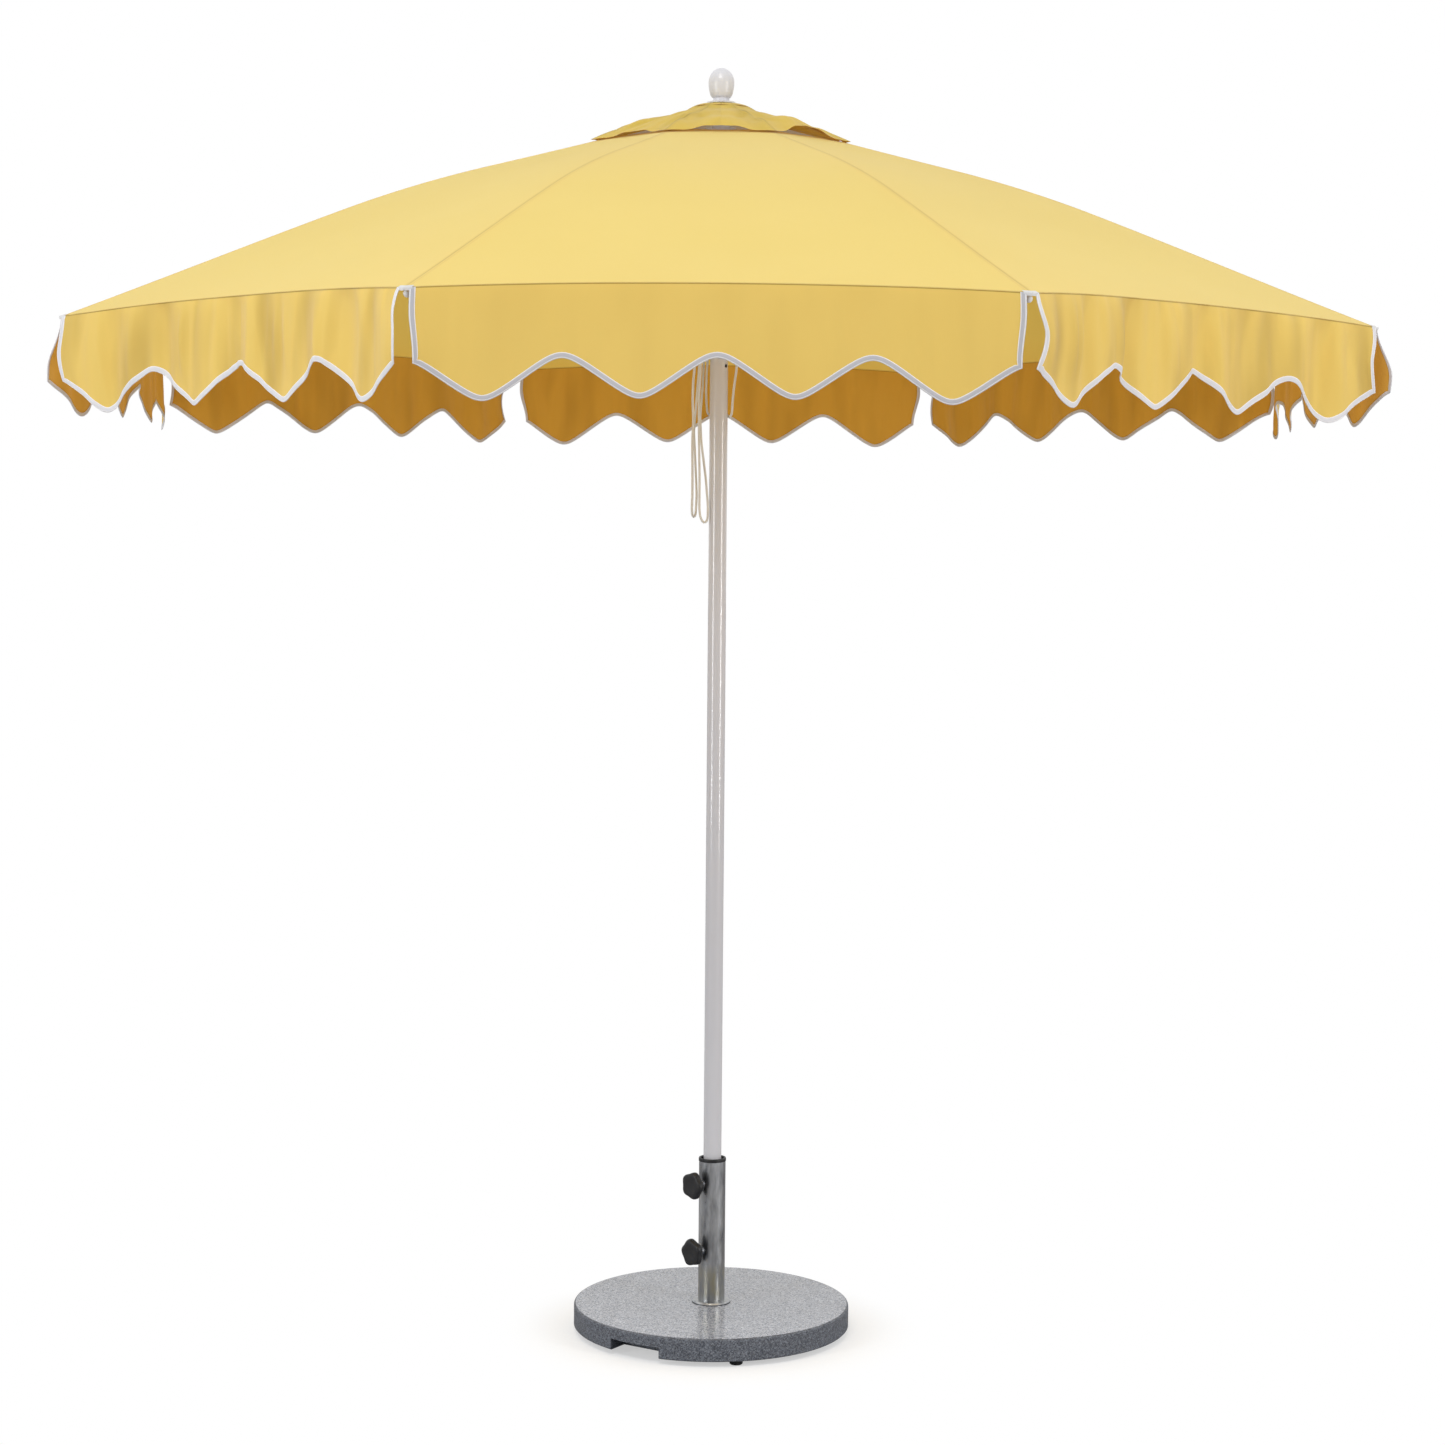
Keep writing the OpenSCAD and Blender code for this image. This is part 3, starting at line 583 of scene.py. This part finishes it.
def gore(i):
    points, uv = [], []
    for k in range(GORE_ROWS + 1):
        r = VENT_R + (TIP_R - VENT_R) * k / GORE_ROWS
        for j in range(-GORE_HALF, GORE_HALF + 1):
            side = 1 if j >= 0 else -1
            c = (abs(j) / GORE_HALF) ** 1.25
            points.append(panel_point(i, side, c, r))
            uv.append((side * c * r * math.sin(HALF), r * SLOPE_RUN))
    o = piece(f"canopy_gore_{i}", points, turned_over(grid_faces(GORE_ROWS + 1, 2 * GORE_HALF + 1)), canopy_look,
              body=f"rib_arm_{i}", slot="canopy_cloth", uv=uv)
    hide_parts(f"canopy_{i}")
    return o


STRAP_START, STRAP_END, STRAP_HALF = 0.052, VENT_R + 0.010, 0.012


def strap(i):
    """Webbing that ties the vent's corner to the hub along the rib."""
    a = azimuth(i)
    points, uv = [], []
    steps = 14
    for k in range(steps + 1):
        r = STRAP_START + (STRAP_END - STRAP_START) * k / steps
        for j in (-1, 0, 1):
            p = turned(a, r, STRAP_HALF * j, KINK_Z + (KINK_R - r) * IN_FALL - 0.0008)
            points.append(p)
            uv.append((STRAP_HALF * j, r))
    return piece(f"vent_strap_{i}", points, turned_over(grid_faces(steps + 1, 3)), webbing_look,
                 body=f"rib_arm_{i}", slot="canopy_cloth", uv=uv)


TAB_HALF = 0.0155


def corner_tab(i):
    """Short webbing that laps over the hem at a rib tip, with its two ends along the panels' hems."""
    points, uv = [], []
    rows = ((0.0002, -0.0052), (0.0010, -0.0030), (0.0012, -0.0008), (0.0008, 0.0010), (-0.0025, 0.0022),
            (-0.0075, 0.0042))
    across = 12
    for k, (out, up) in enumerate(rows):
        for j in range(-across, across + 1):
            side = 1 if j >= 0 else -1
            c = TAB_HALF * abs(j) / across / (CHORD / 2)
            p = panel_point(i, side, c, TIP_R)
            away = turned(azimuth(i), 1, 0, 0)
            q = p + away * (out + 0.0012)
            q.z = p.z + up
            points.append(q)
            uv.append((TAB_HALF * j / across, k * 0.003))
    return piece(f"corner_tab_{i}", points, grid_faces(len(rows), 2 * across + 1), tab_look, body=f"rib_arm_{i}",
                 uv=uv)


# ---------- valance ----------
# How strongly each panel's valance is folded, from the panel to the right of rib 1, anticlockwise
FOLD_DEPTH = (0.013, 0.008, 0.009, 0.014, 0.019, 0.0036, 0.021, 0.014)
# How far each rib's two valances start from its tip
GAPS = (0.007, 0.020, 0.020, 0.007, 0.007, 0.011, 0.011, 0.007)
# How far a panel's valance stands out at its two side edges
FLARES = {4: (0.0, 0.026), 8: (0.028, 0.0)}
# How pointed each panel's lobes are
POINTED = (0.92, 0.88, 0.92, 0.92, 0.95, 0.86, 0.93, 0.92)
FRONT_PANEL = 6


def drop(u, panel):
    """Drop of the valance at u along a panel: a zigzag with rounded points."""
    k = POINTED[panel - 1]
    zigzag = math.asin(k * math.cos(2 * math.pi * 4 * u / CHORD)) / math.asin(k)
    return (LOBE_DROP + NOTCH_DROP) / 2 - (LOBE_DROP - NOTCH_DROP) / 2 * zigzag


def panel_of(i, side):
    """Number of the panel on one side of a rib."""
    return i if side > 0 else (i - 2) % RIBS + 1


def folds(panel, u, h):
    """How far the hanging cloth stands out from its panel at u along it and h below the hem."""
    depth = FOLD_DEPTH[panel - 1]
    down = h / LOBE_DROP
    x = u / CHORD
    wave = 0.0
    for k, (n, share) in enumerate(((3.3, 0.5), (5.7, 0.75), (9.1, 0.5), (14.3, 0.22))):
        shift = 2.4 * panel + 1.7 * k + 0.9 * math.sin(3.1 * panel + k)
        wave += share * math.sin(2 * math.pi * n * x + shift + 0.8 * down * math.sin(k + panel))
    creases = 0.0
    for k in range(9):
        place = (0.06 + 0.11 * k + 0.04 * math.sin(5.3 * panel + 2.1 * k)) % 1.0
        width = 0.007 + 0.006 * (0.5 + 0.5 * math.sin(3.7 * k + panel))
        lean = 0.020 * math.sin(1.9 * k + 2.7 * panel)
        d = (u - place * CHORD - lean * down) / (width * (1 + 0.9 * down))
        reach = down ** 0.5 * (1.0 - 0.85 * down) if k % 2 else 1.5 * down * (1.0 - 0.85 * down)
        creases += (0.42 + 0.28 * math.sin(4.1 * k + 1.3 * panel)) * reach * d * math.exp(0.5 - 0.5 * d * d)
    for k in range(14):
        place = (0.03 + 0.0695 * k + 0.03 * math.sin(7.7 * panel + 3.3 * k)) % 1.0
        d = (u - place * CHORD - 0.012 * math.sin(2.3 * k + panel) * down) / 0.0068
        reach = math.sin(math.pi * min(down * 1.25, 1.0)) * (0.5 + 0.5 * math.sin(5.9 * k + 2.1 * panel))
        creases += 0.95 * reach * math.exp(-0.5 * d * d)
    ends = math.exp(-min(u, CHORD - u) / 0.05)
    curl = ends * (0.6 + 0.4 * math.sin(panel * 2.3 + (0 if u < CHORD / 2 else 1.9)))
    flare = FLARES.get(panel, (0, 0))
    stand = flare[0] * math.exp(-u / 0.09) + flare[1] * math.exp(-(CHORD - u) / 0.09)
    return (depth * (wave * down ** 0.6 * (1 - 0.66 * down) + 0.45 * creases
                     + 1.3 * curl * math.sin(math.pi * min(down * 1.3, 1)))
            + stand * smooth(down * 2.0))


def valance_point(i, side, u, h):
    """u is from the rib's corner to mid-panel, along the chord; h is the drop below the hem."""
    panel = panel_of(i, side)
    along = u if side > 0 else CHORD - u
    c = min(u / (CHORD / 2), 1)
    p = panel_point(i, side, c, TIP_R)
    a = azimuth(i) + side * HALF
    out = Vector((math.cos(a), math.sin(a), 0))
    across = Vector((-math.sin(a), math.cos(a), 0)) * side
    down = h / LOBE_DROP
    loose = 0.35 if panel == FRONT_PANEL else 1.0
    slack = math.exp(-u / 0.06) * loose * (0.012 * math.sin(6.5 * down + 1.7 * panel) + 0.006) * min(3 * down, 1)
    q = p + out * (0.0002 + 0.001 * min(h / 0.004, 1) + folds(panel, along, h)) + across * slack
    q.z = p.z + 0.0003 - h * (1 - 0.01 * down)
    return q


VALANCE_U, VALANCE_H = 72, 14
# Distance between two panels' places in the creases' pattern
UV_STEP = 1.3


def valance_half(i, side, name):
    panel = panel_of(i, side)
    points, uv = [], []
    for r in range(VALANCE_H + 1):
        for k in range(VALANCE_U + 1):
            u = GAPS[i - 1] + (CHORD / 2 - GAPS[i - 1]) * k / VALANCE_U
            h = drop(u, panel) * r / VALANCE_H
            points.append(valance_point(i, side, u, h))
            uv.append((panel * UV_STEP + (u if side > 0 else CHORD - u), h))
    faces = grid_faces(VALANCE_H + 1, VALANCE_U + 1)
    if side > 0:
        faces = turned_over(faces)
    look = taut_look if panel == FRONT_PANEL else valance_look
    return piece(name, points, faces, look, body=f"flap_{i}", slot="canopy_cloth", uv=uv)


# Width of the binding on the outer and the inner face
TAPE, TAPE_BACK = 0.0090, 0.0060
TAPE_SECTION = ((TAPE, 0.45), (TAPE * 0.5, 1.0), (0.001, 1.0), (-0.0010, 0.6), (-0.0014, 0.0), (-0.0010, -0.6),
                (0.001, -1.0), (TAPE_BACK * 0.5, -1.0), (TAPE_BACK, -0.45))


def binding(i, side, name):
    """Folded tape sewn over the side and lower edges of half a valance."""
    panel = panel_of(i, side)
    gap = GAPS[i - 1]
    corner = drop(gap, panel)
    line = [(gap, corner * k / 16) for k in range(16)]
    for k in range(97):
        u = gap + (CHORD / 2 - gap) * k / 96
        line.append((u, drop(u, panel)))
    line = np.array(line)
    tangent = np.gradient(line, axis=0)
    tangent[-1] = (1, 0)
    tangent /= np.linalg.norm(tangent, axis=1)[:, None]
    for _ in range(2):
        tangent[1:-1] = (tangent[:-2] + tangent[1:-1] + tangent[2:]) / 3
        tangent /= np.linalg.norm(tangent, axis=1)[:, None]
    points, uv, run = [], [], 0.0
    for k, ((u, h), (tu, th)) in enumerate(zip(line, tangent)):
        if k:
            run += float(np.linalg.norm(line[k] - line[k - 1]))
        iu, ih = th, -tu
        for d, lift in TAPE_SECTION:
            uu, hh = u + iu * d, h + ih * d
            uu = min(uu, CHORD / 2) if k == len(line) - 1 else uu
            e = 0.002
            p = valance_point(i, side, uu, max(hh, 0))
            du = valance_point(i, side, uu + e, max(hh, 0)) - valance_point(i, side, uu - e, max(hh, 0))
            dh = valance_point(i, side, uu, max(hh, 0) + e) - valance_point(i, side, uu, max(hh, 0))
            n = du.cross(dh).normalized() * (-side)
            points.append(p + n * (0.0011 * lift))
            uv.append((d + 0.02 * (lift < 0), run))
    faces = grid_faces(len(line), len(TAPE_SECTION))
    if side < 0:
        faces = turned_over(faces)
    # The front panel's binding takes the darker copy: painted shade.
    look = shaded_tape_look if panel == FRONT_PANEL else tape_look
    return piece(name, points, faces, look, body=f"flap_{i}", uv=uv)


for i in range(1, RIBS + 1):
    g = gore(i)
    strap(i)
    corner_tab(i)
    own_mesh(g)
    for side, word in ((-1, "right"), (1, "left")):
        v = valance_half(i, side, f"valance_{word}_{i}")
        b = binding(i, side, f"binding_{word}_{i}")
        for o in (v, b):
            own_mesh(o)
        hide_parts(f"valance_{i}")

# ---------- vent cap ----------
CAP_DISC = 0.062
# Corner radii: where the strips start below the disc, where they split from the petals, and the cap's edge
CAP_START, CAP_SPLIT, CAP_EDGE = 0.045, 0.112, 0.290
# Where the cap leaves the crown's slope
CAP_BEND = 0.07
# Lift of the cap's edge at mid-panel, from the panel to the right of rib 1, anticlockwise
CAP_LIFT = (0.014, 0.018, 0.014, 0.014, 0.009, 0.0125, 0.023, 0.016)


def crown_height(r):
    return 2.6065 - 0.0035 * smooth(r / 0.048) - 0.0125 * smooth((r - 0.048) / 0.034)


def cap_height(i, side, c, r):
    """Height of the cap, c from 0 at a rib to 1 at mid-panel and r the corner radius."""
    panel = panel_of(i, side)
    crown = crown_height(r)
    t = min(max((r - CAP_BEND) / (CAP_EDGE - CAP_BEND), 0), 1)
    low = profile(CAP_EDGE) + 0.005
    z = crown + (low - crown) * (0.78 * t + 0.22 * t ** 3)
    lift = CAP_LIFT[panel - 1] * math.sin(math.pi * c / 2) ** 2 * t ** 1.5
    p = turned(azimuth(i) + side * HALF, r, r * (1 - c), 0)
    crease = 0.010 * noise.noise(Vector((p.x * 11, p.y * 11, 1.7))) * math.sin(math.pi * min(t, 1)) * min(4 * c, 1)
    crease += 0.007 * noise.noise(Vector((p.x * 14, p.y * 14, 6.1))) * math.sin(math.pi * t)
    crease += 0.002 * math.sin(13 * math.atan2(p.y, p.x) + 2.0 * panel) * t ** 2 * math.sin(math.pi * c)
    over_canopy = profile(max(r, VENT_R)) + 0.0022
    return max(z + lift + crease, over_canopy)


def cap_point(i, side, c, r):
    a = azimuth(i) + side * HALF
    panel = panel_of(i, side)
    t = min(max((r - CAP_BEND) / (CAP_EDGE - CAP_BEND), 0), 1)
    rho = r * math.cos(HALF) - (0.016 + 0.25 * CAP_LIFT[panel - 1]) * c * (2 - c) * t ** 2
    p = turned(a, rho, -side * r * math.sin(HALF) * (1 - c), 0)
    p.z = cap_height(i, side, c, r)
    return p


def cap_strip(name, i, start, end, rows):
    points, uv = [], []
    half = 12
    for k in range(rows + 1):
        r = start + (end - start) * k / rows
        for j in range(-half, half + 1):
            side = 1 if j >= 0 else -1
            c = abs(j) / half
            points.append(cap_point(i, side, c, r))
            uv.append((side * c * r * math.sin(HALF), r))
    faces = turned_over(grid_faces(rows + 1, 2 * half + 1))
    return piece(name, points, faces, cap_look, slot="canopy_cloth", uv=uv)


def cap_disc():
    points, uv = [Vector((0, 0, 2.6066))], [(0, 0)]
    rows, steps = 6, 64
    for k in range(1, rows + 1):
        r = CAP_DISC * k / rows
        for s in range(steps):
            a = 2 * math.pi * s / steps
            wave = 0.0008 * math.sin(5 * a) * (k / rows) ** 2
            points.append(Vector((r * math.cos(a), r * math.sin(a),
                                  crown_height(r) + 0.4 * wave + 0.0007 - 0.0014 * (k / rows) ** 4)))
            uv.append((points[-1].x, points[-1].y))
    faces = [(0, 1 + s, 1 + (s + 1) % steps) for s in range(steps)]
    for k in range(rows - 1):
        for s in range(steps):
            b, d = 1 + k * steps, (s + 1) % steps
            faces.append((b + s, b + steps + s, b + steps + d, b + d))
    return piece("vent_cap_crown", points, faces, cap_look, body="mast", slot="canopy_cloth", uv=uv)


crown = cap_disc()
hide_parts("vent_cap")
for i in range(1, RIBS + 1):
    inner = cap_strip(f"vent_cap_inner_{i}", i, CAP_START, CAP_SPLIT, 8)
    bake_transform(inner)
    outer = cap_strip(f"vent_cap_petal_{i}", i, CAP_SPLIT, CAP_EDGE, 22)
    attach(outer, f"rib_arm_{i}")
    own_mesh(outer)


# ---------- clamp knobs ----------
KNOB_AZIMUTH = math.radians(-138)
KNOB_R, LOBE_RISE = 0.0279, 0.0019


def knob(name, z, turn, body, node):
    """Five-lobed hand knob with rounded edges, a dished face and a moulded neck."""
    a = KNOB_AZIMUTH
    out, across, up = turned(a, 1, 0, 0), turned(a, 0, 1, 0), Vector((0, 0, 1))
    steps = 90
    # Share of the radius, and distance from the mast's axis
    section = [(0.30, 0.0425), (0.34, 0.0422), (0.345, 0.046), (0.36, 0.0482), (0.70, 0.0482), (0.92, 0.0487),
               (0.985, 0.0510), (1.0, 0.0545), (0.985, 0.0590), (0.94, 0.0618), (0.86, 0.0630), (0.60, 0.0632),
               (0.42, 0.0624), (0.20, 0.0620), (0.0, 0.0620)]
    points = []
    for share, x in section:
        for k in range(steps):
            t = 2 * math.pi * k / steps
            lobes = smooth((share - 0.38) / 0.3)
            r = share * (KNOB_R + LOBE_RISE * lobes * math.cos(5 * (t - math.radians(turn))))
            points.append(out * x + up * (z - r * math.cos(t)) + across * (r * math.sin(t)))
    shell = piece(name, points, grid_faces(len(section), steps, closed=True), black_look, body=body,
                  slot="black_plastic")
    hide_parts(node)


knob("upper_knob_shell", 0.320, 20, "upper_clamp_knob", "upper_knob")
knob("lower_knob_shell", 0.175, 50, "lower_clamp_knob", "lower_knob")

# ---------- CAD nodes that stay ----------
LOOKS = {
    "base_stone": granite_look, "base_feet": rubber_look, "socket_tube": steel_look, "socket_flange": steel_look,
    "flange_gasket": rubber_look, "flange_screws": screw_look, "socket_rim": black_look, "pole_bushes": black_look,
    "clamp_bosses": steel_look, "upper_stud": screw_look, "lower_stud": screw_look, "pole": paint_look,
    "pole_foot": black_look, "pole_plug": screw_look, "top_hub": white_look, "hub_pins": screw_look,
    "pulley_wheel": nylon_look, "pulley_axle": screw_look, "finial": white_look, "runner": white_look,
    "cord_cleat": white_look, "hoist_cord": cord_look,
}
for i in range(1, RIBS + 1):
    LOOKS[f"rib_{i}"] = rib_look
    LOOKS[f"stretcher_{i}"] = rib_look
for node, look in LOOKS.items():
    o = frame["nodes"][node]
    for s in o.material_slots:
        s.material = look

# ---------- floor and light ----------
def camera_only(tree, seen, lit):
    """seen for what the camera sees directly, lit for all the light the surface gives to the rest."""
    path = tree.nodes.new("ShaderNodeLightPath")
    both = tree.nodes.new("ShaderNodeMixShader")
    tree.links.new(path.outputs["Is Camera Ray"], both.inputs[0])
    tree.links.new(lit, both.inputs[1])
    tree.links.new(seen, both.inputs[2])
    return both.outputs[0]


# Distance from the mast over which the floor goes from taking the shadow to plain white
SHADOW_REACH = (0.27, 0.46)
FLOOR_HALF = 60
# Strength of the room's light on the camera's side and behind the umbrella
DIM_SIDE, BRIGHT_SIDE = 0.21, 0.94


def floor():
    """A pale sweep: it takes a soft shadow near the base and runs out to plain white."""
    m, t = tree_of("pale_floor")
    matt = add(t, "ShaderNodeBsdfDiffuse")
    matt.inputs["Color"].default_value = (1, 1, 1, 1)
    glow = t.nodes.new("ShaderNodeEmission")
    glow.inputs["Color"].default_value = (1, 1, 1, 1)
    reach = t.nodes.new("ShaderNodeVectorMath")
    reach.operation = "LENGTH"
    t.links.new(object_coord(t), reach.inputs[0])
    far = remapped(t, reach.outputs["Value"], SHADOW_REACH, (0.5, 1.0), "SMOOTHSTEP")
    both = t.nodes.new("ShaderNodeMixShader")
    t.links.new(far, both.inputs[0])
    t.links.new(matt.outputs[0], both.inputs[1])
    t.links.new(glow.outputs[0], both.inputs[2])
    base = add(t, "ShaderNodeBsdfDiffuse")
    base.inputs["Color"].default_value = (0.42, 0.42, 0.43, 1)
    finish_with(t, camera_only(t, both.outputs[0], base.outputs[0]))
    s = FLOOR_HALF
    o = piece("floor", [(-s, -s, 0), (s, -s, 0), (s, s, 0), (-s, s, 0)], [(0, 1, 2, 3)], m, shade=False)


floor()


def softbox(name, place, target, width, height, power, colour=(1, 1, 1)):
    data = bpy.data.lights.new(name, "AREA")
    data.shape = "RECTANGLE"
    data.size, data.size_y = width, height
    data.energy = power
    data.color = colour
    o = bpy.data.objects.new(name, data)
    scene.collection.objects.link(o)
    o.location = place
    o.rotation_euler = (Vector(target) - Vector(place)).to_track_quat("-Z", "Y").to_euler()


softbox("key", (-0.8, -4.6, 6.8), (0, 0, 2.2), 2.6, 1.8, 204)
softbox("strip_left", (-4.2, -3.4, 2.0), (0, 0, 1.6), 0.9, 3.0, 92, (0.94, 0.97, 1.0))
softbox("strip_right", (4.3, -3.1, 2.0), (0, 0, 1.6), 0.7, 3.0, 98)


def world():
    """A bright room behind and beside the umbrella that is dim on the camera's side."""
    w = bpy.data.worlds.new("studio")
    scene.world = w
    w.use_nodes = True
    t = w.node_tree
    t.nodes.clear()
    white = t.nodes.new("ShaderNodeBackground")
    white.inputs["Color"].default_value = (1, 1, 1, 1)
    room = t.nodes.new("ShaderNodeBackground")
    room.inputs["Color"].default_value = (0.98, 0.99, 1, 1)
    way = t.nodes.new("ShaderNodeSeparateXYZ")
    t.links.new(t.nodes.new("ShaderNodeTexCoord").outputs["Generated"], way.inputs[0])
    strength = remapped(t, way.outputs[1], (-0.75, 0.15), (DIM_SIDE, BRIGHT_SIDE), "SMOOTHSTEP")
    t.links.new(strength, room.inputs["Strength"])
    out = t.nodes.new("ShaderNodeOutputWorld")
    t.links.new(camera_only(t, white.outputs[0], room.outputs[0]), out.inputs["Surface"])


world()
